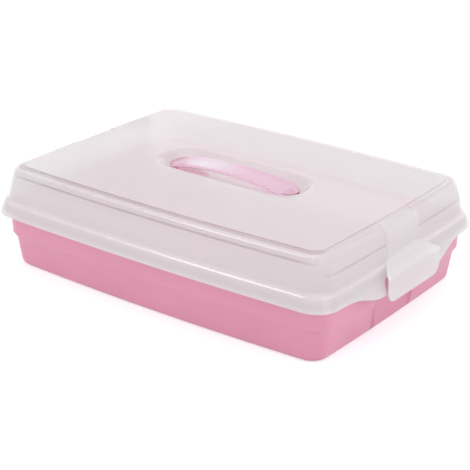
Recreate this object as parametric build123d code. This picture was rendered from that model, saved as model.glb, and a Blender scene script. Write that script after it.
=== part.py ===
from build123d import *
import os
from math import atan2, tan
from typing import NamedTuple

# Rectangular party box: a deep tray, a see-through lid that lifts off straight up, a latch flap
# at each short end that flexes outward, and a carrying bow snapped into the top of the lid.
# Millimetres. X runs along the box, Z is up, and the origin is the middle of the underside.

# Plan outline, taken at the lower edge of the lid's skirt. Every other level is an inset of it.
HALF_LENGTH = 215.2
HALF_WIDTH = 152.6
CORNER = 26.0
CORNER_LOSS = 0.5         # how much the corner radius shrinks for each millimetre of inset
SIDE_BOW = 5.8            # how far the long sides bulge out at their middle
END_BOW = 2.3             # and the short ends

CLEARANCE = 0.3           # air between pieces that move past one another
OVERCUT = 10.0            # how far a cutting shape reaches past what it cuts
ROUND_STEPS = 3           # straight bands that make up a rounded edge of a wall
HAIR = 0.01               # tolerance for picking corners by their height

# Tray
TRAY_WALL = 2.2
TRAY_HEIGHT = 72.5
TRAY_FLOOR = 3.2
FOOT_INSET = 17.5         # inset of the wall where it meets the ground
STEP_LOW = (13.2, 32.2)   # inset and height where the shadow step starts
STEP_HIGH = (9.8, 37.9)   # and where it ends
RIM_INSET = 8.8           # inset of the wall at its top
HEEL_ROUND = 6.0          # size of the rounding between the wall and the underside
HOLLOW_INSET = 34.0       # the underside is hollowed inside a foot ring
HOLLOW_DEPTH = 1.2
LIP_INSET = 6.6           # the rim turns outward and down, as a lip
LIP_LOW = 63.0            # lower edge of the lip along the long sides
LIP_DIP = 49.5            # and at the latches
BAY_HALF_WIDTH = 35.0     # flat bay in each short end, behind the latch
BAY_FACE = 196.5
BAY_FLARE = 7.0           # the sides of the bay splay by this much
BAY_DEPTH = 10.0          # over this depth
BAY_CORNER = 4.0

# Lid
LID_WALL = 2.0
SKIRT_LOW = 60.7
SKIRT_DIP = 49.0          # the skirt dips beside each latch
SKIRT_TOP = (4.4, 74.7)
SKIRT_SLOPE = SKIRT_TOP[0] / (SKIRT_TOP[1] - SKIRT_LOW)
WALL_FOOT = (7.9, 78.2)
END_CREASE = (9.8, 92.5)  # the shoulder starts lower on the short ends
SIDE_CREASE = (13.4, 103.5)
SHOULDER = (13.0, 17.2, 111.2)    # insets of the long sides and short ends, and height
SHOULDER_ROUND = (0.5, 0.42)      # share of the wall and of the flat band that its rounding takes
END_MIDWAY = 12.5         # inset of the short ends at the height of the side crease
PANEL_INSET = 23.6
PANEL_LEDGE = 1.0         # narrow flat around the raised panel
PANEL_FOOT = 111.3
PANEL_TOP = 112.5
LEDGE_UNDERSIDE = 72.8    # the lid rests on the tray's rim here, less a hair's gap
DIP_START = 142.0         # distance from the middle where the lower edge starts to dip
DIP_MIDDLE = 85.0
DIP_END = 50.0
DIP_SHARE = 0.3           # share of the dip reached at its middle station
NOTCH_HALF_WIDTH = 45.0   # opening in the skirt that lets the latch hooks reach the tray's lip
NOTCH_TOP = 64.5
NOTCH_RADIUS = 6.0

# Latch flaps, drawn for the +X end
LATCH_WALL = 2.2
STRAP_HALF_WIDTH = 30.0
STRAP_BEND = 205.8        # outer face where the strap has turned down
STRAP_LOW = (208.4, 80.6) # outer face where it starts to flare
TAB_FACE = 223.0
TAB_TOP = 68.5
TAB_LOW = 41.2
TAB_HALF_WIDTH = 49.0
TAB_CORNER = 12.0
WING_TOP = 78.6           # height where the strap starts to widen
WING_SHOULDER = (37.0, 76.0)
WING_RADIUS = 3.0
BEND_RADII = (14, 9, 6)   # strap over the shoulder, strap into flare, flare into tab
HOOK_INNER = 10.0         # each hook rib runs between these distances from the middle
HOOK_OUTER = 27.0
HOOK_TOP = 48.0
HOOK_HEIGHT = 5.0
HOOK_LAND = 1.0           # blunt edge at the tip of a hook

# Carrying bow and the dish that it stands in
BOW_HALF_LENGTH = 80.5
BOW_HALF_WIDTH = 14.7
BOW_CORNER = 13.0
BOW_BEVEL = 0.6           # softening of its edges
BOW_ARC_REACH = 84.0      # the arcs of its faces are drawn to here, just past its ends
BOW_UPPER = (106.8, 115.5)     # heights of its upper face there and in the middle
BOW_LOWER = (102.6, 112.5)     # and of its lower face
DISH_FLOOR = 102.5
DISH_HALF_LENGTH = 82.2   # at the floor, before the rounding at the foot of its slope
DISH_HALF_WIDTH = 20.5
DISH_SPLAY = 10.0         # how far its slope spreads on the way up to the panel
DISH_ROUND = (4.0, 0.4)   # inset and share of the slope that the rounding at its foot takes
DISH_LIP = (3.0, 0.7)     # growth and share of the slope where the rounding at its top starts
DISH_END_FLAT = 2.0       # straight stretch in the middle of each end of the dish
FOOT_X = 70.0             # middle of the slots that the feet pass through
FOOT_HALF_LENGTH = 3.0
FOOT_HALF_WIDTH = 9.0
FOOT_TOP = 107.0          # the feet are rooted in the bow up to here
TONGUE_REACH = 39.0       # the left foot ends in a tongue that runs inward under the floor
TONGUE_ROUND = 8.5        # radius of the corners at its tip
BARB_REACH = 2.5          # the right foot ends in barbs
TONGUE_THICKNESS = 2.4


class Level(NamedTuple):
    """One level of a moulded wall: inset of the long sides, inset of the short ends and height."""
    side: float
    end: float
    z: float


def level(inset, z):
    return Level(inset, inset, z)


def outline(at):
    """Rounded rectangle with four bulging sides, inset from the plan outline."""
    half_length = HALF_LENGTH - at.end
    half_width = HALF_WIDTH - at.side
    x = half_length - END_BOW
    y = half_width - SIDE_BOW
    corner = CORNER - CORNER_LOSS * (at.side + at.end) / 2
    with BuildSketch(Plane.XY.offset(at.z)) as sketch:
        with BuildLine():
            ThreePointArc((-x, -y), (0, -half_width), (x, -y))
            ThreePointArc((x, -y), (half_length, 0), (x, y))
            ThreePointArc((x, y), (0, half_width), (-x, y))
            ThreePointArc((-x, y), (-half_length, 0), (-x, -y))
        make_face()
        fillet(sketch.vertices(), radius=corner)
    return sketch.sketch


def moulded(levels):
    """Solid with straight walls from each level to the next."""
    return loft([outline(at) for at in levels], ruled=True)


def between(low, high, share):
    return Level(*(a + share * (b - a) for a, b in zip(low, high)))


def rounded(low, corner, high):
    """Levels along the smooth curve that leaves low toward corner and reaches high from it."""
    shares = [step / ROUND_STEPS for step in range(ROUND_STEPS + 1)]
    return [between(between(low, corner, share), between(corner, high, share), share) for share in shares]


def below_edge(long_side, dip):
    """Everything under a lower edge that is level along the sides and dips at the short ends."""
    reach = HALF_WIDTH + OVERCUT
    middle = long_side - DIP_SHARE * (long_side - dip)
    with BuildSketch(Plane.YZ) as sketch:
        with BuildLine():
            Polyline((-DIP_START, long_side), (-reach, long_side), (-reach, 0), (reach, 0),
                     (reach, long_side), (DIP_START, long_side))
            for side in (-1, 1):
                Spline((side * DIP_START, long_side), (side * DIP_MIDDLE, middle),
                       (side * DIP_END, dip), tangents=[(-side, 0), (-side, 0)])
            Line((-DIP_END, dip), (DIP_END, dip))
        make_face()
    return extrude(sketch.sketch, HALF_LENGTH + OVERCUT, both=True)


def tray_bay(grow):
    """Flat bay at each short end, grown by the wall thickness for the inside of the wall."""
    face = BAY_FACE - grow
    mouth = face + BAY_DEPTH
    outside = mouth + OVERCUT
    inner = BAY_HALF_WIDTH + grow
    outer = inner + BAY_FLARE
    with BuildSketch() as sketch:
        with BuildLine():
            Polyline((face, -inner), (mouth, -outer), (outside, -outer),
                     (outside, outer), (mouth, outer), (face, inner), close=True)
        make_face()
        fillet(sketch.vertices().group_by(Axis.X)[0], radius=BAY_CORNER)
    bay = extrude(sketch.sketch, TRAY_HEIGHT - TRAY_WALL)
    return bay + mirror(bay, about=Plane.YZ)


def tray_body(foot, floor, wall, heel_round):
    """Solid from the floor up to the rim, with a rounded heel between the floor and the wall."""
    corner = level(foot, floor)
    heel_top = between(corner, wall[0], heel_round / (wall[0].z - floor))
    return moulded(rounded(level(foot + heel_round, floor), corner, heel_top) + wall)


def make_tray():
    wall = [level(*STEP_LOW), level(*STEP_HIGH), level(RIM_INSET, TRAY_HEIGHT)]
    inner_wall = [level(at.side + TRAY_WALL, at.z) for at in wall]
    outside = tray_body(FOOT_INSET, 0, wall, HEEL_ROUND) - tray_bay(0)
    inside = tray_body(FOOT_INSET + TRAY_WALL, TRAY_FLOOR, inner_wall, HEEL_ROUND - TRAY_WALL)
    inside -= tray_bay(TRAY_WALL)

    def lip_level(inset, z):
        return level(inset - SKIRT_SLOPE * (TRAY_HEIGHT - z), z)

    lip = moulded([lip_level(LIP_INSET, LIP_DIP), lip_level(LIP_INSET, TRAY_HEIGHT)])
    lip -= moulded([lip_level(LIP_INSET + TRAY_WALL, LIP_DIP),
                    lip_level(LIP_INSET + TRAY_WALL, TRAY_HEIGHT - TRAY_WALL)])
    lip -= below_edge(LIP_LOW, LIP_DIP)
    tray = outside + lip - inside
    hollow = extrude(outline(level(HOLLOW_INSET, 0)), HOLLOW_DEPTH)
    return tray - hollow


def dish(wall):
    """Long shallow dish with rounded slopes for the bow, or its underside a wall thickness away."""
    slope = atan2(PANEL_TOP - DISH_FLOOR, DISH_SPLAY)
    grow = wall * tan(slope / 2)
    corner = level(grow, DISH_FLOOR - wall)
    brim = level(grow + DISH_SPLAY, PANEL_TOP - wall)
    foot = rounded(level(grow - DISH_ROUND[0], corner.z), corner, between(corner, brim, DISH_ROUND[1]))
    lip = rounded(between(corner, brim, DISH_LIP[1]), brim, level(brim.side + DISH_LIP[0], brim.z))
    sections = []
    for at in foot + lip:
        half_length = DISH_HALF_LENGTH + at.end
        half_width = DISH_HALF_WIDTH + at.side
        slot = RectangleRounded(2 * half_length, 2 * half_width, half_width - DISH_END_FLAT / 2)
        sections.append(Pos(0, 0, at.z) * slot)
    return loft(sections, ruled=True)


def strap_seat(grow):
    """Seat across the shoulder and down the wall, where a latch strap lies flush with the panel."""
    start = HALF_LENGTH - PANEL_INSET - grow
    depth = LATCH_WALL + CLEARANCE + grow
    outside = STRAP_LOW[0] + OVERCUT
    above = PANEL_TOP + OVERCUT
    below = WALL_FOOT[1] - grow
    with BuildSketch(Plane.XZ) as profile:
        with BuildLine():
            Polyline((start, above), (start, PANEL_TOP - depth), (STRAP_BEND - depth, PANEL_TOP - depth),
                     (STRAP_LOW[0] - depth, below), (outside, below), (outside, above), close=True)
        make_face()
        bend = profile.vertices().sort_by_distance((STRAP_BEND - depth, PANEL_TOP - depth))[0]
        fillet(bend, BEND_RADII[0] - depth)
    seat = extrude(profile.sketch, STRAP_HALF_WIDTH + CLEARANCE + grow, both=True)
    return seat + mirror(seat, about=Plane.YZ)


def make_lid():
    skirt_foot = level(-SKIRT_SLOPE * (SKIRT_LOW - SKIRT_DIP), SKIRT_DIP)
    wall_foot = level(*WALL_FOOT)
    side_crease = Level(SIDE_CREASE[0], END_MIDWAY, SIDE_CREASE[1])
    crease_share = (END_CREASE[1] - wall_foot.z) / (side_crease.z - wall_foot.z)
    end_crease = between(wall_foot, side_crease, crease_share)._replace(end=END_CREASE[0])
    shoulder = Level(*SHOULDER)
    ledge = level(PANEL_INSET - PANEL_LEDGE, PANEL_FOOT)
    edge = rounded(between(shoulder, side_crease, SHOULDER_ROUND[0]), shoulder,
                   between(shoulder, ledge, SHOULDER_ROUND[1]))
    wall = [wall_foot, end_crease, side_crease]
    outside = moulded([skirt_foot, level(*SKIRT_TOP)] + wall + edge + [ledge])
    panel = extrude(outline(level(PANEL_INSET, PANEL_FOOT)), PANEL_TOP - PANEL_FOOT)
    outside = outside + panel - dish(0) - strap_seat(0)

    inner_wall = [Level(at.side + LID_WALL, at.end + LID_WALL, at.z) for at in wall]
    under_ledge = level(inner_wall[0].side, LEDGE_UNDERSIDE)
    under_panel = Level(shoulder.side + LID_WALL, shoulder.end + LID_WALL, PANEL_FOOT - LID_WALL)
    inside = moulded([under_ledge] + inner_wall + [under_panel]) - dish(LID_WALL) - strap_seat(LID_WALL)
    ledge_inset = SKIRT_TOP[0] + LID_WALL - SKIRT_SLOPE * (SKIRT_TOP[1] - LEDGE_UNDERSIDE)
    skirt_inside = moulded([level(skirt_foot.side + LID_WALL, SKIRT_DIP),
                            level(ledge_inset, LEDGE_UNDERSIDE)])
    lid = outside - inside - skirt_inside - below_edge(SKIRT_LOW, SKIRT_DIP)

    notch = RectangleRounded(2 * NOTCH_HALF_WIDTH, 2 * (NOTCH_TOP - SKIRT_DIP), NOTCH_RADIUS)
    lid -= extrude(Plane.YZ * Pos(0, SKIRT_DIP) * notch, HALF_LENGTH + OVERCUT, both=True)
    for side in (-1, 1):
        lid -= foot_slot(side)
    return lid


def foot_slot(side):
    """Slot in the floor of the dish that one foot of the bow passes through."""
    length = 2 * (FOOT_HALF_LENGTH + CLEARANCE)
    width = 2 * (FOOT_HALF_WIDTH + CLEARANCE)
    return Pos(side * FOOT_X, 0, DISH_FLOOR - LID_WALL / 2) * Box(length, width, 2 * LID_WALL)


def latch_front():
    """Outline of a latch seen from outside: a strap that widens into a tab."""
    half = [(STRAP_HALF_WIDTH, PANEL_TOP + OVERCUT), (STRAP_HALF_WIDTH, WING_TOP), WING_SHOULDER,
            (TAB_HALF_WIDTH, TAB_TOP), (TAB_HALF_WIDTH, TAB_LOW)]
    other_half = [(-y, z) for y, z in reversed(half)]
    with BuildSketch(Plane.YZ) as sketch:
        with BuildLine():
            Polyline(*half, *other_half, close=True)
        make_face()
        fillet(sketch.vertices().group_by(Axis.Y)[0], TAB_CORNER)
        wings = sketch.vertices().filter_by_position(Axis.Y, TAB_TOP - HAIR, WING_TOP + HAIR)
        fillet(wings, WING_RADIUS)
    return sketch.sketch


def hook_rib(side):
    """Wedge that snaps under the tray's lip, standing on the inner face of the tab."""
    lip_edge = HALF_LENGTH - LIP_INSET + SKIRT_SLOPE * (TRAY_HEIGHT - LIP_DIP)
    root = TAB_FACE - LATCH_WALL / 2
    tip = lip_edge + CLEARANCE
    with BuildSketch(Plane.XZ) as sketch:
        with BuildLine():
            Polyline((root, HOOK_TOP), (tip, HOOK_TOP), (tip, HOOK_TOP - HOOK_LAND),
                     (root, HOOK_TOP - HOOK_HEIGHT), close=True)
        make_face()
    rib = extrude(sketch.sketch, (HOOK_OUTER - HOOK_INNER) / 2, both=True)
    return Pos(0, side * (HOOK_INNER + HOOK_OUTER) / 2, 0) * rib


def make_latch():
    """Bent strip: over the shoulder, down the wall, out over the rim and down as a wide tab."""
    start = HALF_LENGTH - PANEL_INSET + CLEARANCE
    with BuildSketch(Plane.XZ) as profile:
        with BuildLine():
            outer = FilletPolyline((start, PANEL_TOP), (STRAP_BEND, PANEL_TOP), STRAP_LOW,
                                   (TAB_FACE, TAB_TOP), (TAB_FACE, TAB_LOW), radius=BEND_RADII)
            offset(outer, amount=LATCH_WALL, side=Side.RIGHT, closed=True)
        make_face()
    strip = extrude(profile.sketch, TAB_HALF_WIDTH, both=True)
    latch = strip & extrude(latch_front(), TAB_FACE + OVERCUT)
    return latch + hook_rib(-1) + hook_rib(1)


def make_bow():
    """Arched carrying strap with a locking tongue at its left end and snap barbs at its right."""
    with BuildSketch(Plane.XZ) as profile:
        with BuildLine():
            for end, middle in (BOW_LOWER, BOW_UPPER):
                ThreePointArc((-BOW_ARC_REACH, end), (0, middle), (BOW_ARC_REACH, end))
            for end in (-BOW_ARC_REACH, BOW_ARC_REACH):
                Line((end, BOW_LOWER[0]), (end, BOW_UPPER[0]))
        make_face()
    strip = extrude(profile.sketch, BOW_HALF_WIDTH, both=True)
    plan = RectangleRounded(2 * BOW_HALF_LENGTH, 2 * BOW_HALF_WIDTH, BOW_CORNER)
    strip &= extrude(plan, BOW_UPPER[1] + OVERCUT)
    strip = chamfer(strip.edges(), BOW_BEVEL)
    return strip + bow_foot(-1) + bow_foot(1)


def bow_foot(side):
    """Post through the floor of the dish: a long tongue under it at the left, two barbs at the right."""
    inner = FOOT_X - FOOT_HALF_LENGTH
    outer = FOOT_X + FOOT_HALF_LENGTH
    catch_top = DISH_FLOOR - LID_WALL - CLEARANCE
    catch_low = catch_top - TONGUE_THICKNESS
    if side < 0:
        points = [(outer, FOOT_TOP), (outer, catch_low), (inner - TONGUE_REACH, catch_low),
                  (inner - TONGUE_REACH, catch_top), (inner, catch_top), (inner, FOOT_TOP)]
    else:
        points = [(outer, FOOT_TOP), (outer, catch_top), (outer + BARB_REACH, catch_top), (outer, catch_low),
                  (inner, catch_low), (inner - BARB_REACH, catch_top), (inner, catch_top), (inner, FOOT_TOP)]
    with BuildSketch(Plane.XZ) as sketch:
        with BuildLine():
            Polyline(*[(side * x, z) for x, z in points], close=True)
        make_face()
    foot = extrude(sketch.sketch, FOOT_HALF_WIDTH, both=True)
    if side < 0:
        tip = foot.edges().filter_by(Axis.Z).sort_by(Axis.X)[-2:]
        foot = fillet(tip, TONGUE_ROUND)
    return foot


def export(name, solid):
    export_step(solid, os.path.join("parts", name + ".step"))


def main():
    os.makedirs("parts", exist_ok=True)
    export("tray", make_tray())
    export("lid", make_lid())
    latch = make_latch()
    export("latch_right", latch)
    export("latch_left", mirror(latch, about=Plane.YZ))
    export("handle", make_bow())


main()
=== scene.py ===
"""Looks for a rectangular cake carrier: pink tray, see-through lid, its latch flaps and a carrying bow."""
import math

import bmesh
import bpy
from bpy.props import FloatProperty, FloatVectorProperty, PointerProperty
from bpy.types import Operator, Panel, PropertyGroup
from mathutils import Matrix, Vector


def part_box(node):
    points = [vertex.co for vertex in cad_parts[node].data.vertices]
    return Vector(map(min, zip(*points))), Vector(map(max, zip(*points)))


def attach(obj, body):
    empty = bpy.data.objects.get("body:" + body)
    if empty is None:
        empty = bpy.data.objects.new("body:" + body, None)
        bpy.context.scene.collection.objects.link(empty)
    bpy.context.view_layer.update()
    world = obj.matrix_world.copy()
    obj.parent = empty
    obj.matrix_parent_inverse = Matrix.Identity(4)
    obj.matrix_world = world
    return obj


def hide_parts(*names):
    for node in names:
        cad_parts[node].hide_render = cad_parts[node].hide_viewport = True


bl_info = {
    "name": "Cake Carrier",
    "version": (1, 0, 0),
    "blender": (4, 5, 0),
    "location": "View3D > Sidebar > Carrier",
    "description": "Builds the looks of a lidded cake carrier around its solid model",
    "category": "Object",
}

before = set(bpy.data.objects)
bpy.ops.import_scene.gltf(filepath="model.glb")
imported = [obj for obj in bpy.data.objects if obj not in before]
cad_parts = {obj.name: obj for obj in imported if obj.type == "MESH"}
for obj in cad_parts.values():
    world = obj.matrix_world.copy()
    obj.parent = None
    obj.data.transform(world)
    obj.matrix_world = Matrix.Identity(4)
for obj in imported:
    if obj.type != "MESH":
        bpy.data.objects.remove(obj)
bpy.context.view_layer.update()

# How the meshes are read and rounded
LEVEL = 1e-4                        # corners this near a height are at it
MERGE = 2e-6                        # loose corners closer than this are one corner
FLAT = math.radians(0.3)            # faces that turn less than this are one flat
CREASE = math.radians(25)           # edges that turn more than this are rounded off
SHADING_BREAK = math.radians(38)    # and what still turns more than this stays crisp

# Which way a face looks, by the parts of its normal
UPWARD = 0.5                        # more than this upward: it looks up
LEVEL_FACE = 0.98                   # more than this upward: it is level
BEND_TILT = (0.3, 0.97)             # between these upward: it belongs to a bend
ACROSS = 0.7                        # more than this along the width: it looks across the box
LONG_SIDE = 0.8                     # at least this share of the level part is across: a long side
SHORT_SIDE = 0.5                    # at most this share is: a short side
BOW_TILT = 0.3                      # less than this up or down: a side of the bow
BOW_EDGE_SLOPE = 0.4                # more than this level, looking down: a lower edge of the bow

# Finishes of each piece, in the order of its materials
TRAY_OUTSIDE, TRAY_INSIDE = range(2)
LID_CREASE, LID_BEND, LID_LEDGE, LID_SEAM, LID_RIM = range(1, 6)    # 0 is the plain finish
LATCH_PLAIN, LATCH_SEAM, LATCH_EDGE = range(3)
BOW_TOP, BOW_SIDE, BOW_UNDERSIDE, BOW_FOOT, BOW_TONGUE = range(5)

# Heights and places on the carrier. A band is where a tone starts, is full, is full still, and ends.
# A fade is where it starts and where it is full.
TRAY_FLOOR = 0.0015                 # faces that look into the tray lie above this height
TRAY_LIP = 0.06                     # and those of them that look up lie below this one
BAY_SIDE = 0.036                    # the latch bays and the straps' seats lie this near the middle
# Band of painted shade just under the tray's lip
LIP_BAND = (0.0585, 0.061, 0.0675, 0.07)
# Band of painted shade along the tray's heel, its bottom edge
HEEL_BAND = (-0.002, -0.001, 0.0012, 0.0045)
# Painted shade down the front edges of the latch bays:
BAY_SHADE_NEAR = (-0.028, -0.034)    # fade toward the front
BAY_SHADE_FAR = (-0.043, -0.0375)    # fade toward the back
BAY_SHADE_END = (0.186, 0.189)       # fade toward the short ends
BAY_SHADE_TOP = (0.031, 0.026)       # fade downward

SKIRT_EDGE = 0.0747                 # height where the lid's skirt turns down
END_CREASE = 0.0925                 # height where the lid's shoulder starts, on its short ends
SIDE_CREASE = 0.1035                # and on its long sides
BEND_START = 0.108                  # the bends of the lid's top edge lie above this height
ROUNDING = (0.10948, 0.11077)       # heights of those two bends
LEDGE = 0.1113                      # height of the flat band round the lid's raised panel
RISER_TOP = LEDGE + 0.0012          # the edge of the panel rises from the ledge to here
SEAT_START = 0.185                  # the straps' seats lie this far out
SIDE_SWELL = 0.1255                 # a long side falls back by this times X squared, in metres
LEDGE_BAND = (0.113, 0.126, 0.1336, 0.1356)     # distances in front of the middle, with that added
# Band of painted shade low on the lid's skirt
SKIRT_BAND = (0.0615, 0.0645, 0.0685, 0.0735)
SKIRT_FADE = (0.0785, 0.0745)       # the haze of the skirt, downward
BACK_FADE = (0.02, 0.07)            # the haze of the back half of the top, backward
TOP_FADE = (0.108, 0.111)           # and upward
# Fades of the painted shade along the creases:
CORNER_FADE = (0.165, 0.195)        # the long creases fade into the corners over these
END_CORNER_FADE = (0.1, 0.125)      # and the short ones over these
END_PLAIN = 0.45                    # and are this plain already along their middle
DISH = (0.092, 0.034)               # half the length and width of the finger dish under the bow
DISH_REACH = (0.1, 0.05)            # half the length and width of a box round the dish
EDGE_ON = (0.68, 0.92)              # clear plastic hides more as it turns edge-on over these
EDGE_ON_HAZE = 0.95                 # and hides this much in the end

STRAP_FOOT = 0.0806                 # height where the latch straps start to flare
TAB_TOP = 0.07                      # the latch tabs lie below this height
TAB_FADE = (0.082, 0.066)           # the haze of the tabs, downward

BOW_RISE = 0.0125                   # the feet of the bow start this far below its crown
TONGUE_ROOT = -0.064                # the bow's left foot turns into its tongue here
TONGUE = (-0.05, -0.011)            # middle of the clear place over the tongue
TONGUE_REACH = (0.027, 0.017)       # its half length and width
# Painted highlight on the bow's left half:
BOW_HIGHLIGHT = (-0.034, 0.002)          # middle of the bow's paler part
BOW_HIGHLIGHT_REACH = (0.042, 0.022)     # its half length and width
BOW_HAZE_FADE = (-0.055, 0.025)     # the haze of the bow grows to the right over these
# The painted shade on the bow's sides grows toward each end:
BOW_END_FADE = (0.0715, 0.076)      # its edge deepens toward each end over these
COLUMN = 1000                       # height of an oval column, far more than any piece has

# Stage
VIEW_TARGET = Vector((0.0150, -0.0167, 0.0490))     # where the camera and the main lamps point
SENSOR_WIDTH = 36.0
FLOOR_GLOW = 0.5                    # lifts the floor to white where it is seen
KEY_LAMP = Vector((-0.90, -1.69, 0.88))
TOP_LAMP = Vector((0.1, 0.1, 2.6))
FILL_LAMP = Vector((1.892, -0.264, 1.1))
BACK_WALL = Vector((0, 2, 0.54))
LEFT_WALL = Vector((-1.8, 1.5, 0.5))
LEFT_WALL_SHARE = 0.45              # power of the left light wall against the back one


class CarrierLooks(PropertyGroup):
    """Colours and finishes of the mouldings, with the painted light and shade laid on them."""

    tray_colour: FloatVectorProperty(
        name="Tray", description="Colour of the opaque tray", subtype="COLOR",
        size=3, min=0, max=1, default=(0.80, 0.33, 0.47))
    # Painted shade: the tray is darker just under its lip
    lip_painted_shade: FloatVectorProperty(
        name="Lip shade", description="Tint of the tray just under its lip, against its wall",
        subtype="COLOR", size=3, min=0, max=1, default=(0.76, 0.66, 0.70))
    # Painted shade along the tray's bottom edge
    heel_painted_shade: FloatVectorProperty(
        name="Heel shade", description="Tint of the tray's bottom edge, against its wall",
        subtype="COLOR", size=3, min=0, max=1, default=(0.74, 0.88, 0.84))
    # Painted shade down the front edges of the latch bays
    bay_painted_shade: FloatVectorProperty(
        name="Bay shade", description="Tint of the front edges of the latch bays, against the tray's wall",
        subtype="COLOR", size=3, min=0, max=1, default=(0.72, 0.62, 0.66))
    lid_colour: FloatVectorProperty(
        name="Lid", description="Colour of the milky lid", subtype="COLOR",
        size=3, min=0, max=1, default=(0.80, 0.777, 0.787))
    # Painted shade along the lid's creases, the front of its ledge and the riser of its panel
    crease_painted_shade: FloatVectorProperty(
        name="Crease", description="Deeper tone of the lid along its creases", subtype="COLOR",
        size=3, min=0, max=1, default=(0.575, 0.54, 0.56))
    # Painted light: the finger dish is lighter than the lid, to offset the shade in its hollow
    dish_painted_light: FloatVectorProperty(
        name="Dish", description="Colour of the finger dish under the bow", subtype="COLOR",
        size=3, min=0, max=1, default=(0.84, 0.832, 0.838))
    # Painted shade low on the lid's skirt, where the shaded gap under the tray's lip shows through
    skirt_painted_shade: FloatVectorProperty(
        name="Skirt shade", description="Tint of the lid's skirt, against its wall", subtype="COLOR",
        size=3, min=0, max=1, default=(0.955, 0.935, 0.955))
    lid_haze: FloatProperty(
        name="Haze", description="How much of the view one wall of the lid hides", subtype="FACTOR",
        min=0, max=1, default=0.62)
    back_haze: FloatProperty(
        name="Haze at the back", description="How much of the view the back half of the lid's top hides",
        subtype="FACTOR", min=0, max=1, default=0.44)
    skirt_haze: FloatProperty(
        name="Skirt haze", description="How much of the view the lid's skirt hides", subtype="FACTOR",
        min=0, max=1, default=0.68)
    tongue_haze: FloatProperty(
        name="Haze over the tongue", description="How much of the view the lid hides over the bow's tongue",
        subtype="FACTOR", min=0, max=1, default=0.2)
    latch_colour: FloatVectorProperty(
        name="Latch", description="Colour of the latch flaps", subtype="COLOR",
        size=3, min=0, max=1, default=(0.845, 0.822, 0.833))
    # Painted highlight along the edges of the latch tabs
    tab_edge_highlight: FloatVectorProperty(
        name="Tab edge", description="Colour of the edges of the latch tabs", subtype="COLOR",
        size=3, min=0, max=1, default=(0.97, 0.93, 0.95))
    strap_haze: FloatProperty(
        name="Strap haze", description="How much of the view a latch's strap hides", subtype="FACTOR",
        min=0, max=1, default=0.25)
    tab_haze: FloatProperty(
        name="Tab haze", description="How much of the view a latch's tab hides", subtype="FACTOR",
        min=0, max=1, default=0.68)
    bow_colour: FloatVectorProperty(
        name="Bow", description="Colour of the carrying bow", subtype="COLOR",
        size=3, min=0, max=1, default=(0.80, 0.525, 0.67))
    # Painted highlight on the bow's left half
    bow_painted_highlight: FloatVectorProperty(
        name="Bow, pale", description="Paler colour of the bow's left half", subtype="COLOR",
        size=3, min=0, max=1, default=(0.69, 0.62, 0.72))
    tongue_colour: FloatVectorProperty(
        name="Bow's tongue", description="Colour of the bow's tongue under the lid", subtype="COLOR",
        size=3, min=0, max=1, default=(0.80, 0.34, 0.47))
    # Painted highlight along the bow's long sides
    bow_side_highlight: FloatVectorProperty(
        name="Bow side", description="Paler colour of the bow's long sides", subtype="COLOR",
        size=3, min=0, max=1, default=(0.98, 0.68, 0.82))
    # Painted shade on the bow's ends, lower edges and feet, where it meets the lid
    bow_edge_shade: FloatVectorProperty(
        name="Bow edge", description="Deeper colour of the bow's ends, lower edges and feet",
        subtype="COLOR", size=3, min=0, max=1, default=(0.42, 0.09, 0.20))
    bow_haze: FloatProperty(
        name="Bow haze", description="How much of the view the right half of the bow's upper face hides",
        subtype="FACTOR", min=0, max=1, default=0.75)
    bow_tongue_haze: FloatProperty(
        name="Bow haze at the tongue",
        description="How much of the view the left half of the bow's upper face hides", subtype="FACTOR",
        min=0, max=1, default=0.62)
    bow_underside_haze: FloatProperty(
        name="Bow underside haze", description="How much of the view the bow's lower face hides",
        subtype="FACTOR", min=0, max=1, default=0.3)
    crease_width: FloatProperty(
        name="Crease width", description="Rounding of the creases round the lid's wall", unit="LENGTH",
        min=0, default=0.0013)
    rim_radius: FloatProperty(
        name="Rim radius", description="Rounding of the edge where the lid's skirt turns down",
        unit="LENGTH", min=0, default=0.0016)
    top_radius: FloatProperty(
        name="Top radius", description="Rounding of each of the two bends of the lid's top edge",
        unit="LENGTH", min=0, default=0.0008)
    edge_radius: FloatProperty(
        name="Edge radius", description="Rounding of the other edges of the tray and the lid",
        unit="LENGTH", min=0, default=0.0005)
    tab_edge_radius: FloatProperty(
        name="Tab edge radius", description="Rounding of the edges of the latch flaps", unit="LENGTH",
        min=0, default=0.0006)
    bow_edge_radius: FloatProperty(
        name="Bow edge radius", description="Rounding of the edges of the bow", unit="LENGTH",
        min=0, default=0.0009)


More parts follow.
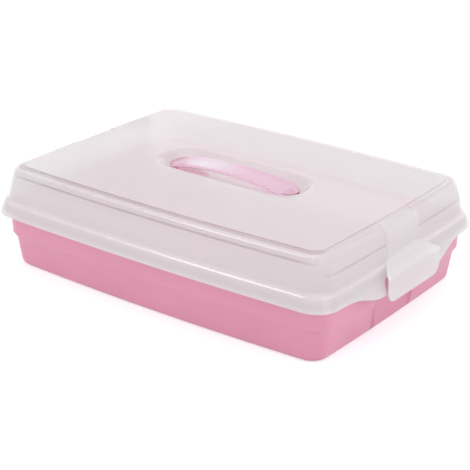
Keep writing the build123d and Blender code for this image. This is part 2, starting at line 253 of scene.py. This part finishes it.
class CarrierStage(PropertyGroup):
    """Floor, lamps and camera."""

    floor_size: FloatProperty(
        name="Floor", description="Side of the square floor", unit="LENGTH", min=1, default=12)
    floor_colour: FloatVectorProperty(
        name="Floor colour", description="Colour of the floor", subtype="COLOR",
        size=3, min=0, max=1, default=(0.75, 0.75, 0.75))
    sky_strength: FloatProperty(
        name="Sky", description="Strength of the even light from all round", min=0, default=0.62)
    key_power: FloatProperty(
        name="Key lamp", description="Power of the soft lamp at the front left", unit="POWER",
        min=0, default=9)
    top_power: FloatProperty(
        name="Top lamp", description="Power of the broad lamp overhead", unit="POWER", min=0, default=14)
    fill_power: FloatProperty(
        name="Fill lamp", description="Power of the broad lamp at the right", unit="POWER",
        min=0, default=11.5)
    wall_power: FloatProperty(
        name="Light walls", description="Power of the light wall behind; the one at the left follows it",
        unit="POWER", min=0, default=8)
    view_azimuth: FloatProperty(
        name="Azimuth", description="Camera's turn round the carrier", subtype="ANGLE",
        default=math.radians(36.516))
    view_elevation: FloatProperty(
        name="Elevation", description="Camera's height above the horizon", subtype="ANGLE",
        default=math.radians(22.936))
    view_roll: FloatProperty(
        name="Roll", description="Camera's tilt about its own axis", subtype="ANGLE",
        default=math.radians(0.543))
    view_distance: FloatProperty(
        name="Distance", description="From the camera to the point it looks at", unit="LENGTH",
        min=0.1, default=1.4862)
    lens: FloatProperty(
        name="Lens", description="Focal length", unit="CAMERA", min=1, default=108.1)


# Shader nodes

def feed(tree, socket, value):
    """Links a socket to another node's output, or gives it a constant."""
    if isinstance(value, bpy.types.NodeSocket):
        tree.links.new(value, socket)
    else:
        socket.default_value = value


def object_place(tree):
    """Place on the piece, in its own coordinates."""
    return tree.nodes.new("ShaderNodeTexCoord").outputs["Object"]


def object_axes(tree):
    """The same as its X, Y and Z."""
    axes = tree.nodes.new("ShaderNodeSeparateXYZ")
    feed(tree, axes.inputs["Vector"], object_place(tree))
    return axes.outputs


def compute(tree, operation, *values):
    """Result of a maths operation on numbers or other nodes' outputs."""
    node = tree.nodes.new("ShaderNodeMath")
    node.operation = operation
    for socket, value in zip(node.inputs, values):
        feed(tree, socket, value)
    return node.outputs["Value"]


def spread(tree, value, span, low, high, curve="LINEAR"):
    """Goes from low to high as a value crosses a span."""
    node = tree.nodes.new("ShaderNodeMapRange")
    node.interpolation_type = curve
    inputs = {"Value": value, "From Min": span[0], "From Max": span[1], "To Min": low, "To Max": high}
    for name, source in inputs.items():
        feed(tree, node.inputs[name], source)
    return node.outputs["Result"]


def ease(tree, value, span, low=0, high=1):
    """The same with a soft start and end."""
    return spread(tree, value, span, low, high, curve="SMOOTHSTEP")


def two_tones(tree, value, span, first, last):
    """Colour that goes from the first to the last as a value crosses a span."""
    ramp = tree.nodes.new("ShaderNodeValToRGB")
    for element, place, colour in zip(ramp.color_ramp.elements, span, (first, last)):
        element.position = place
        element.color = (*colour, 1)
    feed(tree, ramp.inputs["Fac"], value)
    return ramp.outputs["Color"]


def band_of_tone(tree, value, band, inside, outside, curve="LINEAR"):
    """Colour that is one tone where a value is inside a band and another outside it."""
    ramp = tree.nodes.new("ShaderNodeValToRGB")
    ramp.color_ramp.interpolation = curve
    elements = ramp.color_ramp.elements
    for place in band[1:3]:
        elements.new(place).color = (*inside, 1)
    elements[0].position = band[0]
    elements[-1].position = band[-1]
    elements[0].color = (*outside, 1)
    elements[-1].color = (*outside, 1)
    feed(tree, ramp.inputs["Fac"], value)
    return ramp.outputs["Color"]


def blend(tree, share, first, second, kind="FLOAT", mode="MIX"):
    """Blend of two values or colours."""
    mix = tree.nodes.new("ShaderNodeMix")
    mix.data_type = kind
    mix.blend_type = mode
    for name, value in (("Factor", share), ("A", first), ("B", second)):
        feed(tree, mix.inputs[name], value)
    return mix.outputs["Result"]


def noise(tree, scale, detail=2.0):
    """Noise pattern fixed to the piece; scale is in waves per metre."""
    pattern = tree.nodes.new("ShaderNodeTexNoise")
    pattern.inputs["Scale"].default_value = scale
    pattern.inputs["Detail"].default_value = detail
    feed(tree, pattern.inputs["Vector"], object_place(tree))
    return pattern.outputs["Fac"]


def streaks(tree, scales, detail=3.0):
    """Noise pattern with a scale for each axis."""
    stretch = tree.nodes.new("ShaderNodeMapping")
    stretch.inputs["Scale"].default_value = scales
    feed(tree, stretch.inputs["Vector"], object_place(tree))
    pattern = tree.nodes.new("ShaderNodeTexNoise")
    pattern.inputs["Scale"].default_value = 1.0
    pattern.inputs["Detail"].default_value = detail
    feed(tree, pattern.inputs["Vector"], stretch.outputs["Vector"])
    return pattern.outputs["Fac"]


def oval_mask(tree, middle, half, solid):
    """1 inside an oval seen from above, 0 outside; solid is the share of its reach that is full."""
    stretch = tree.nodes.new("ShaderNodeMapping")
    stretch.vector_type = "TEXTURE"
    stretch.inputs["Location"].default_value = (*middle, 0)
    stretch.inputs["Scale"].default_value = (*half, COLUMN)
    feed(tree, stretch.inputs["Vector"], object_place(tree))
    distance = tree.nodes.new("ShaderNodeVectorMath")
    distance.operation = "LENGTH"
    feed(tree, distance.inputs[0], stretch.outputs["Vector"])
    return ease(tree, distance.outputs["Value"], (1, solid))


# Finishes that materials share

MOTTLE_SPAN = (0.3, 0.7)            # a noise pattern's values lie mostly in these spans
STREAK_SPAN = WEAR_SPAN = (0.35, 0.65)
FLOW_LINES = (3, 3, 170)            # waves per metre of the streaks along X, Y and Z


def new_material(name, colour, **sockets):
    """Material with a Principled shader; sockets are its other settings by name."""
    material = bpy.data.materials.new(name)
    material.use_nodes = True
    shader_input(material, "Base Color").default_value = (*colour, 1)
    for socket, value in sockets.items():
        shader_input(material, socket.replace("_", " ")).default_value = value
    return material


def shader_input(material, name):
    """One of the inputs of a material's shader."""
    return material.node_tree.nodes["Principled BSDF"].inputs[name]


def add_drift(material, pattern, span, colour, share):
    """Slightly uneven pigment: the colour drifts by a small share either way."""
    darker = [tone * (1 - share) for tone in colour]
    lighter = [min(tone * (1 + share), 1) for tone in colour]
    tree = material.node_tree
    feed(tree, shader_input(material, "Base Color"), two_tones(tree, pattern, span, darker, lighter))


def add_mottle(material, colour, share, scale):
    """The drift in patches; scale is in waves per metre."""
    add_drift(material, noise(material.node_tree, scale), MOTTLE_SPAN, colour, share)


def add_flow_lines(material, colour, share):
    """The drift in faint level streaks."""
    add_drift(material, streaks(material.node_tree, FLOW_LINES), STREAK_SPAN, colour, share)


def add_gloss_wear(material, low, high, scale):
    """Roughness that differs a little from place to place."""
    tree = material.node_tree
    wear = spread(tree, noise(tree, scale, detail=6.0), WEAR_SPAN, low, high)
    feed(tree, shader_input(material, "Roughness"), wear)


def add_relief(material, layers):
    """Bumps of the mould's surface; each layer is (waves per metre, height in metres)."""
    tree = material.node_tree
    normal = None
    for scale, height in layers:
        bump = tree.nodes.new("ShaderNodeBump")
        bump.inputs["Strength"].default_value = 1.0
        bump.inputs["Distance"].default_value = height
        feed(tree, bump.inputs["Height"], noise(tree, scale))
        if normal:
            feed(tree, bump.inputs["Normal"], normal)
        normal = bump.outputs["Normal"]
    feed(tree, shader_input(material, "Normal"), normal)


def overlay(material, share, colour, mode="MIX"):
    """Lays a colour over what the material's colour is already linked to."""
    tree = material.node_tree
    base = shader_input(material, "Base Color")
    feed(tree, base, blend(tree, share, base.links[0].from_socket, colour, kind="RGBA", mode=mode))


def paint_oval_light(material, colour, middle, half, solid):
    """Paints light onto a piece inside an oval seen from above, as a paler colour."""
    overlay(material, oval_mask(material.node_tree, middle, half, solid), (*colour, 1))


def shade_band(material, shade, band):
    """Paints shade onto a level band of a piece by deepening its colour."""
    tree = material.node_tree
    tone = band_of_tone(tree, object_axes(tree)["Z"], band, shade, (1, 1, 1), curve="EASE")
    overlay(material, 1.0, tone, mode="MULTIPLY")


# Materials of the tray

def plain_tray_plastic(looks, name="tray_inside"):
    """Satin plastic of the tray, as its inside shows it."""
    material = new_material(name, looks.tray_colour)
    add_mottle(material, looks.tray_colour, share=0.02, scale=14)
    add_gloss_wear(material, low=0.3, high=0.42, scale=60)
    add_relief(material, [(45, 0.00012), (2600, 0.00001)])
    return material


def tray_plastic(looks):
    """The same plastic outside, with painted shade under its lip, along its heel and down the front edges
    of its bays.
    """
    material = plain_tray_plastic(looks, "tray_pink")
    shade_band(material, looks.lip_painted_shade, LIP_BAND)
    shade_band(material, looks.heel_painted_shade, HEEL_BAND)
    shade_bay(material, looks.bay_painted_shade)
    return material


def shade_bay(material, shade):
    """Paints shade down the front edges of the bays behind the latches."""
    tree = material.node_tree
    axes = object_axes(tree)
    share = ease(tree, axes["Y"], BAY_SHADE_NEAR)
    for value, fade in ((axes["Y"], BAY_SHADE_FAR), (compute(tree, "ABSOLUTE", axes["X"]), BAY_SHADE_END),
                        (axes["Z"], BAY_SHADE_TOP)):
        share = compute(tree, "MULTIPLY", share, ease(tree, value, fade))
    overlay(material, share, (*shade, 1), mode="MULTIPLY")


# Materials of the lid and its latches

def lid_plastic(looks):
    """Glossy see-through plastic of the lid."""
    material = new_material("lid_clear", looks.lid_colour)
    add_flow_lines(material, looks.lid_colour, share=0.02)
    # painted light in the finger dish
    paint_oval_light(material, looks.dish_painted_light, (0, 0), DISH, solid=0.78)
    # painted shade low on the skirt
    shade_band(material, looks.skirt_painted_shade, SKIRT_BAND)
    add_gloss_wear(material, low=0.07, high=0.13, scale=40)
    add_relief(material, [(30, 0.00002)])
    add_haze(material, looks)
    return material


def add_haze(material, looks):
    """How much the lid hides: more at its skirt and seen edge-on, less at its back and over the tongue."""
    tree = material.node_tree
    axes = object_axes(tree)
    top = ease(tree, axes["Y"], BACK_FADE, looks.lid_haze, looks.back_haze)
    upper = ease(tree, axes["Z"], TOP_FADE, looks.lid_haze, top)
    whole = ease(tree, axes["Z"], SKIRT_FADE, upper, looks.skirt_haze)
    facing = tree.nodes.new("ShaderNodeLayerWeight")
    facing.inputs["Blend"].default_value = 0.5
    edge_on = ease(tree, facing.outputs["Facing"], EDGE_ON, 0, EDGE_ON_HAZE)
    most = compute(tree, "MAXIMUM", whole, edge_on)
    window = oval_mask(tree, TONGUE, TONGUE_REACH, solid=0.7)
    feed(tree, shader_input(material, "Alpha"), blend(tree, window, most, looks.tongue_haze))


def bend_plastic(looks):
    """The lid's plastic round its top edge, where it shines most."""
    material = new_material("lid_bend", looks.lid_colour, Alpha=0.66, Specular_IOR_Level=1.0, IOR=1.65)
    add_mottle(material, looks.lid_colour, share=0.01, scale=20)
    add_gloss_wear(material, low=0.22, high=0.32, scale=40)
    return material


def rim_plastic(looks):
    """The lid's plastic along the rim of its skirt."""
    material = new_material("lid_rim", looks.lid_colour, Alpha=0.66, Specular_IOR_Level=1.0, IOR=1.55)
    add_mottle(material, looks.lid_colour, share=0.01, scale=20)
    add_gloss_wear(material, low=0.22, high=0.3, scale=40)
    return material


def seam_plastic(looks):
    """Faces that hardly show: the sides of the straps and of their seats, and the panel's back edge."""
    material = new_material("lid_seam", looks.lid_colour, Alpha=0.08)
    add_mottle(material, looks.lid_colour, share=0.01, scale=20)
    add_gloss_wear(material, low=0.26, high=0.36, scale=40)
    return material


def crease_plastic(looks):
    """Creases of the lid, with painted shade that fades into its corners."""
    material = new_material("lid_crease", looks.crease_painted_shade, Alpha=0.55)
    add_mottle(material, looks.crease_painted_shade, share=0.06, scale=25)
    add_gloss_wear(material, low=0.16, high=0.26, scale=40)
    tree = material.node_tree
    axes = object_axes(tree)
    along = ease(tree, compute(tree, "ABSOLUTE", axes["X"]), CORNER_FADE)
    across = ease(tree, compute(tree, "ABSOLUTE", axes["Y"]), END_CORNER_FADE, low=END_PLAIN)
    overlay(material, compute(tree, "MINIMUM", along, across), (*looks.lid_colour, 1))
    return material


def ledge_plastic(looks):
    """The flat band round the panel: painted shade along the front, plain elsewhere."""
    material = new_material("lid_ledge", looks.crease_painted_shade, Alpha=0.55)
    add_gloss_wear(material, low=0.16, high=0.26, scale=40)
    tree = material.node_tree
    axes = object_axes(tree)
    swell = compute(tree, "MULTIPLY", axes["X"], SIDE_SWELL)
    in_front = compute(tree, "MULTIPLY", axes["Y"], -1.0)
    straight = compute(tree, "MULTIPLY_ADD", axes["X"], swell, in_front)
    tone = band_of_tone(tree, straight, LEDGE_BAND, looks.crease_painted_shade, looks.lid_colour)
    feed(tree, shader_input(material, "Base Color"), tone)
    return material


def latch_plastic(looks):
    """The lid's plastic, more see-through where a strap lies on the lid than at its free tab."""
    material = new_material("latch_clear", looks.latch_colour)
    add_mottle(material, looks.latch_colour, share=0.006, scale=10)
    add_gloss_wear(material, low=0.12, high=0.2, scale=40)
    tree = material.node_tree
    haze = ease(tree, object_axes(tree)["Z"], TAB_FADE, looks.strap_haze, looks.tab_haze)
    feed(tree, shader_input(material, "Alpha"), haze)
    return material


def tab_edge_plastic(looks):
    """The rounded edges of the tabs, whiter as a painted highlight where the plastic catches the light."""
    material = new_material("tab_edge", looks.tab_edge_highlight, Alpha=0.92)
    add_mottle(material, looks.tab_edge_highlight, share=0.01, scale=20)
    add_gloss_wear(material, low=0.16, high=0.26, scale=40)
    return material


# Materials of the bow

def bow_plastic(looks):
    """Glossy tinted plastic of the bow, with a painted highlight on its left half, which is also clearer.
    """
    material = new_material("bow_pink", looks.bow_colour, Specular_IOR_Level=0.4)
    add_mottle(material, looks.bow_colour, share=0.02, scale=30)
    paint_oval_light(material, looks.bow_painted_highlight, BOW_HIGHLIGHT, BOW_HIGHLIGHT_REACH, solid=0.35)
    add_gloss_wear(material, low=0.12, high=0.22, scale=90)
    add_relief(material, [(40, 0.00004)])
    tree = material.node_tree
    haze = ease(tree, object_axes(tree)["X"], BOW_HAZE_FADE, looks.bow_tongue_haze, looks.bow_haze)
    feed(tree, shader_input(material, "Alpha"), haze)
    return material


def bow_side_plastic(looks):
    """Sides of the bow: a painted highlight along it, and painted shade round its ends, where the view also
    runs lengthwise through the tinted plastic.
    """
    material = new_material("bow_edge", looks.bow_colour, Alpha=0.92)
    add_gloss_wear(material, low=0.08, high=0.18, scale=90)
    tree = material.node_tree
    distance = compute(tree, "ABSOLUTE", object_axes(tree)["X"])
    tone = two_tones(tree, distance, BOW_END_FADE, looks.bow_side_highlight, looks.bow_edge_shade)
    feed(tree, shader_input(material, "Base Color"), tone)
    return material


def bow_underside_plastic(looks):
    """The same plastic from below, clear enough to let light through to the lid."""
    material = new_material("bow_underside", looks.bow_colour, Alpha=looks.bow_underside_haze)
    add_gloss_wear(material, low=0.08, high=0.18, scale=90)
    return material


def bow_foot_plastic(looks):
    """The feet and lower edges of the bow, in painted shade."""
    material = new_material("bow_foot", looks.bow_edge_shade, Alpha=0.95)
    add_mottle(material, looks.bow_edge_shade, share=0.05, scale=60)
    add_gloss_wear(material, low=0.1, high=0.2, scale=90)
    return material


def bow_tongue_plastic(looks):
    """The tongue that runs back under the lid."""
    material = new_material("bow_tongue", looks.tongue_colour)
    add_mottle(material, looks.tongue_colour, share=0.03, scale=60)
    add_gloss_wear(material, low=0.12, high=0.22, scale=90)
    return material


# Shapes

def merged_copy(node):
    """Mesh of a solid node with its loose triangles joined and its flats made whole."""
    shape = bmesh.new()
    shape.from_mesh(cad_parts[node].data)
    bmesh.ops.remove_doubles(shape, verts=shape.verts, dist=MERGE)
    bmesh.ops.dissolve_limit(shape, angle_limit=FLAT, verts=shape.verts, edges=shape.edges)
    return shape


def edge_turn(edge):
    """How far the surface turns at an edge."""
    return edge.calc_face_angle(0) if len(edge.link_faces) == 2 else 0


def round_edges(shape, edges, radius, segments=2, material=-1):
    """Rounds edges off; material is the finish of the rounding, or -1 for that of the faces beside it."""
    bmesh.ops.bevel(shape, geom=edges, offset=radius, offset_type="OFFSET", segments=segments,
                    profile=0.5, affect="EDGES", clamp_overlap=True, material=material)


def soften(shape, radius, material=-1, below=math.inf):
    """Rounds off every crease that lies below a height, as a mould does."""
    creases = [edge for edge in shape.edges
               if edge_turn(edge) > CREASE and min(vert.co.z for vert in edge.verts) < below]
    round_edges(shape, creases, radius, material=material)


def looks_out(place, normal):
    """Whether a normal points away from the upright line through the box's middle."""
    return normal.x * place.x + normal.y * place.y > 0


def outer_edges(shape, height, along=""):
    """Level edges of the outside at a height; along is the side that they run on, long or short."""
    found = []
    for edge in shape.edges:
        if len(edge.link_faces) < 2 or any(abs(vert.co.z - height) > LEVEL for vert in edge.verts):
            continue
        normal = edge.link_faces[0].normal + edge.link_faces[1].normal
        if not looks_out((edge.verts[0].co + edge.verts[1].co) / 2, normal):
            continue
        across = abs(normal.y) / math.hypot(normal.x, normal.y)
        if (along == "long" and across < LONG_SIDE) or (along == "short" and across > SHORT_SIDE):
            continue
        found.append(edge)
    return found


def tray_part(face):
    """Which finish a face of the tray gets: the inside's where it looks in, or else the outside's."""
    middle, normal = face.calc_center_median(), face.normal
    if middle.z <= TRAY_FLOOR:
        return TRAY_OUTSIDE
    if abs(middle.y) < BAY_SIDE and abs(normal.y) > ACROSS:
        inside = normal.y * middle.y > 0
    elif normal.z > UPWARD:
        inside = middle.z < TRAY_LIP
    else:
        inside = normal.x * middle.x + normal.y * middle.y < 0
    return TRAY_INSIDE if inside else TRAY_OUTSIDE


def lid_part(face):
    """Which finish a face of the lid gets; the roundings of the rim and the creases have theirs already."""
    middle, normal = face.calc_center_median(), face.normal
    outward = looks_out(middle, normal)
    on_long_side = abs(normal.y) > abs(normal.x)
    in_dish = abs(middle.x) <= DISH_REACH[0] and abs(middle.y) <= DISH_REACH[1]
    on_riser = LEDGE < middle.z < RISER_TOP and abs(normal.z) < UPWARD
    on_bends = BEND_START < middle.z < LEDGE and BEND_TILT[0] < normal.z < BEND_TILT[1]
    if normal.z > LEVEL_FACE and abs(middle.z - LEDGE) < 2 * LEVEL:
        return LID_LEDGE
    # The panel's riser takes the painted shade of the creases, except along the back
    if outward and on_riser and not in_dish:
        return LID_SEAM if on_long_side and middle.y > 0 else LID_CREASE
    if outward and on_bends and on_long_side:
        return LID_BEND
    if abs(normal.y) > ACROSS and abs(middle.y) < BAY_SIDE and abs(middle.x) > SEAT_START:
        return LID_SEAM
    return face.material_index


def latch_part(face):
    """Which finish a face of a latch gets; the rounding of its edges has the edge's finish already."""
    height = face.calc_center_median().z
    if abs(face.normal.y) > ACROSS and height > STRAP_FOOT:
        return LATCH_SEAM
    return LATCH_EDGE if face.material_index == LATCH_EDGE and height <= TAB_TOP else LATCH_PLAIN


def bow_part(face):
    """Which finish a face of the bow gets."""
    middle, normal = face.calc_center_median(), face.normal
    if middle.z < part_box("handle")[1].z - BOW_RISE:
        return BOW_TONGUE if TONGUE_ROOT < middle.x < 0 else BOW_FOOT
    if normal.z > BOW_TILT:
        return BOW_TOP
    if normal.z > -BOW_TILT:
        return BOW_SIDE
    return BOW_FOOT if math.hypot(normal.x, normal.y) > BOW_EDGE_SLOPE else BOW_UNDERSIDE


# Pieces

def finish_piece(shape, name, node, materials, body, see_through=False):
    """Shades the shape smooth, makes it an object that stands for its node, and puts it on its body.

    A see-through piece lets the lamps light what is inside it.
    """
    for face in shape.faces:
        face.smooth = True
    for edge in shape.edges:
        edge.smooth = edge_turn(edge) < SHADING_BREAK
    mesh = bpy.data.meshes.new(name)
    shape.to_mesh(mesh)
    shape.free()
    for material in materials:
        mesh.materials.append(material)
    piece = bpy.data.objects.new(name, mesh)
    bpy.context.scene.collection.objects.link(piece)
    piece.visible_shadow = not see_through
    flatten = piece.modifiers.new("flat_faces_stay_flat", "WEIGHTED_NORMAL")
    flatten.mode = "FACE_AREA"
    flatten.keep_sharp = True
    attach(piece, body)
    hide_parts(node)


class CARRIER_OT_tray(Operator):
    """Make the tray"""

    bl_idname = "carrier.tray"
    bl_label = "Tray"

    def execute(self, context):
        looks = context.scene.carrier_looks
        shape = merged_copy("tray")
        soften(shape, looks.edge_radius)
        for face in shape.faces:
            face.material_index = tray_part(face)
        plastics = [tray_plastic(looks), plain_tray_plastic(looks)]
        finish_piece(shape, "tray_shell", "tray", plastics, "tray")
        return {"FINISHED"}


class CARRIER_OT_lid(Operator):
    """Make the lid and its two latch flaps"""

    bl_idname = "carrier.lid"
    bl_label = "Lid and latch flaps"

    def execute(self, context):
        looks = context.scene.carrier_looks
        seam = seam_plastic(looks)
        shape = merged_copy("lid")
        round_edges(shape, outer_edges(shape, SKIRT_EDGE), looks.rim_radius, segments=4, material=LID_RIM)
        bends = [edge for height in ROUNDING for edge in outer_edges(shape, height)]
        round_edges(shape, bends, looks.top_radius, segments=4)
        for height, along in ((SIDE_CREASE, "long"), (END_CREASE, "short")):
            creases = outer_edges(shape, height, along)
            round_edges(shape, creases, looks.crease_width, material=LID_CREASE)
        for face in shape.faces:
            face.material_index = lid_part(face)
        soften(shape, looks.edge_radius, below=LEDGE - LEVEL)
        plastics = [lid_plastic(looks), crease_plastic(looks), bend_plastic(looks), ledge_plastic(looks),
                    seam, rim_plastic(looks)]
        finish_piece(shape, "lid_shell", "lid", plastics, "lid", see_through=True)
        plastics = [latch_plastic(looks), seam, tab_edge_plastic(looks)]
        for latch in ("latch_right", "latch_left"):
            shape = merged_copy(latch)
            soften(shape, looks.tab_edge_radius, material=LATCH_EDGE)
            for face in shape.faces:
                face.material_index = latch_part(face)
            finish_piece(shape, latch + "_shell", latch, plastics, latch, see_through=True)
        return {"FINISHED"}


class CARRIER_OT_bow(Operator):
    """Make the carrying bow"""

    bl_idname = "carrier.bow"
    bl_label = "Carrying bow"

    def execute(self, context):
        looks = context.scene.carrier_looks
        shape = merged_copy("handle")
        soften(shape, looks.bow_edge_radius)
        for face in shape.faces:
            face.material_index = bow_part(face)
        plastics = [bow_plastic(looks), bow_side_plastic(looks), bow_underside_plastic(looks),
                    bow_foot_plastic(looks), bow_tongue_plastic(looks)]
        finish_piece(shape, "carrying_bow", "handle", plastics, "lid", see_through=True)
        return {"FINISHED"}


# Stage

def seen_share(tree):
    """1 where a ray comes from the camera, a reflection or clear plastic, and 0 where it only lights."""
    rays = tree.nodes.new("ShaderNodeLightPath").outputs
    camera_or_glossy = compute(tree, "MAXIMUM", rays["Is Camera Ray"], rays["Is Glossy Ray"])
    return compute(tree, "MAXIMUM", camera_or_glossy, rays["Is Transmission Ray"])


def floor_paint(stage):
    """Pale paint that keeps a soft shadow and otherwise looks white."""
    material = new_material("floor_paint", stage.floor_colour, Roughness=0.9, Emission_Color=(1, 1, 1, 1))
    tree = material.node_tree
    glow = compute(tree, "MULTIPLY", seen_share(tree), FLOOR_GLOW)
    feed(tree, shader_input(material, "Emission Strength"), glow)
    return material


def make_floor(stage):
    """Square floor round the origin."""
    shape = bmesh.new()
    bmesh.ops.create_grid(shape, x_segments=1, y_segments=1, size=stage.floor_size / 2)
    mesh = bpy.data.meshes.new("floor")
    shape.to_mesh(mesh)
    shape.free()
    mesh.materials.append(floor_paint(stage))
    floor = bpy.data.objects.new("floor", mesh)
    bpy.context.scene.collection.objects.link(floor)


def add_lamp(name, place, aim, size, power):
    """Rectangular lamp that faces a point and isn't seen itself; size is its width and height."""
    data = bpy.data.lights.new(name, "AREA")
    data.shape = "RECTANGLE"
    data.size, data.size_y = size
    data.energy = power
    lamp = bpy.data.objects.new(name, data)
    bpy.context.scene.collection.objects.link(lamp)
    lamp.location = place
    lamp.rotation_euler = (aim - place).to_track_quat("-Z", "Y").to_euler()
    lamp.visible_camera = False


def make_lamps(stage):
    """Three soft lamps that face the carrier and two upright light walls."""
    add_lamp("key_lamp", KEY_LAMP, VIEW_TARGET, size=(0.5, 0.8), power=stage.key_power)
    add_lamp("top_lamp", TOP_LAMP, VIEW_TARGET, size=(2.2, 2.2), power=stage.top_power)
    add_lamp("fill_lamp", FILL_LAMP, VIEW_TARGET, size=(1.6, 1.6), power=stage.fill_power)
    forward, rightward = Vector((0, -1, 0)), Vector((1, 0, 0))
    add_lamp("back_light_wall", BACK_WALL, BACK_WALL + forward, size=(3.6, 1.08), power=stage.wall_power)
    add_lamp("left_light_wall", LEFT_WALL, LEFT_WALL + rightward, size=(1.8, 1.0),
             power=stage.wall_power * LEFT_WALL_SHARE)


def make_sky(stage):
    """White sky that lights less than it shows."""
    world = bpy.data.worlds.new("studio_sky")
    bpy.context.scene.world = world
    world.use_nodes = True
    tree = world.node_tree
    sky = tree.nodes["Background"]
    sky.inputs["Color"].default_value = (1, 1, 1, 1)
    feed(tree, sky.inputs["Strength"], spread(tree, seen_share(tree), (0, 1), stage.sky_strength, 1.0))


def make_camera(stage):
    """Camera that looks at the carrier from its azimuth, elevation and distance."""
    azimuth = stage.view_azimuth
    elevation = stage.view_elevation
    back = Vector((math.sin(azimuth) * math.cos(elevation), -math.cos(azimuth) * math.cos(elevation),
                   math.sin(elevation)))
    right = Vector((math.cos(azimuth), math.sin(azimuth), 0))
    axes = Matrix((right, back.cross(right), back)).transposed()
    turned = axes @ Matrix.Rotation(stage.view_roll, 3, "Z")
    data = bpy.data.cameras.new("camera")
    data.lens = stage.lens
    data.sensor_width = SENSOR_WIDTH
    camera = bpy.data.objects.new("camera", data)
    bpy.context.scene.collection.objects.link(camera)
    camera.matrix_world = Matrix.Translation(VIEW_TARGET + back * stage.view_distance) @ turned.to_4x4()
    bpy.context.scene.camera = camera


class CARRIER_OT_stage(Operator):
    """Make the floor, the lamps and the camera"""

    bl_idname = "carrier.stage"
    bl_label = "Stage"

    def execute(self, context):
        stage = context.scene.carrier_stage
        make_floor(stage)
        make_lamps(stage)
        make_sky(stage)
        make_camera(stage)
        context.scene.view_settings.view_transform = "Standard"
        return {"FINISHED"}


class CARRIER_PT_panel(Panel):
    """Buttons that build the carrier, and its colours"""

    bl_idname = "CARRIER_PT_panel"
    bl_label = "Cake carrier"
    bl_space_type = "VIEW_3D"
    bl_region_type = "UI"
    bl_category = "Carrier"

    def draw(self, context):
        for operator in OPERATORS:
            self.layout.operator(operator.bl_idname)
        for group in (context.scene.carrier_looks, context.scene.carrier_stage):
            box = self.layout.box()
            for name in group.__annotations__:
                box.prop(group, name)


OPERATORS = (CARRIER_OT_tray, CARRIER_OT_lid, CARRIER_OT_bow, CARRIER_OT_stage)
CLASSES = (CarrierLooks, CarrierStage) + OPERATORS + (CARRIER_PT_panel,)


def register():
    for cls in CLASSES:
        bpy.utils.register_class(cls)
    bpy.types.Scene.carrier_looks = PointerProperty(type=CarrierLooks)
    bpy.types.Scene.carrier_stage = PointerProperty(type=CarrierStage)


def unregister():
    del bpy.types.Scene.carrier_stage
    del bpy.types.Scene.carrier_looks
    for cls in reversed(CLASSES):
        bpy.utils.unregister_class(cls)


def main():
    register()
    bpy.ops.carrier.tray()
    bpy.ops.carrier.lid()
    bpy.ops.carrier.bow()
    bpy.ops.carrier.stage()


if __name__ == "__main__":
    main()
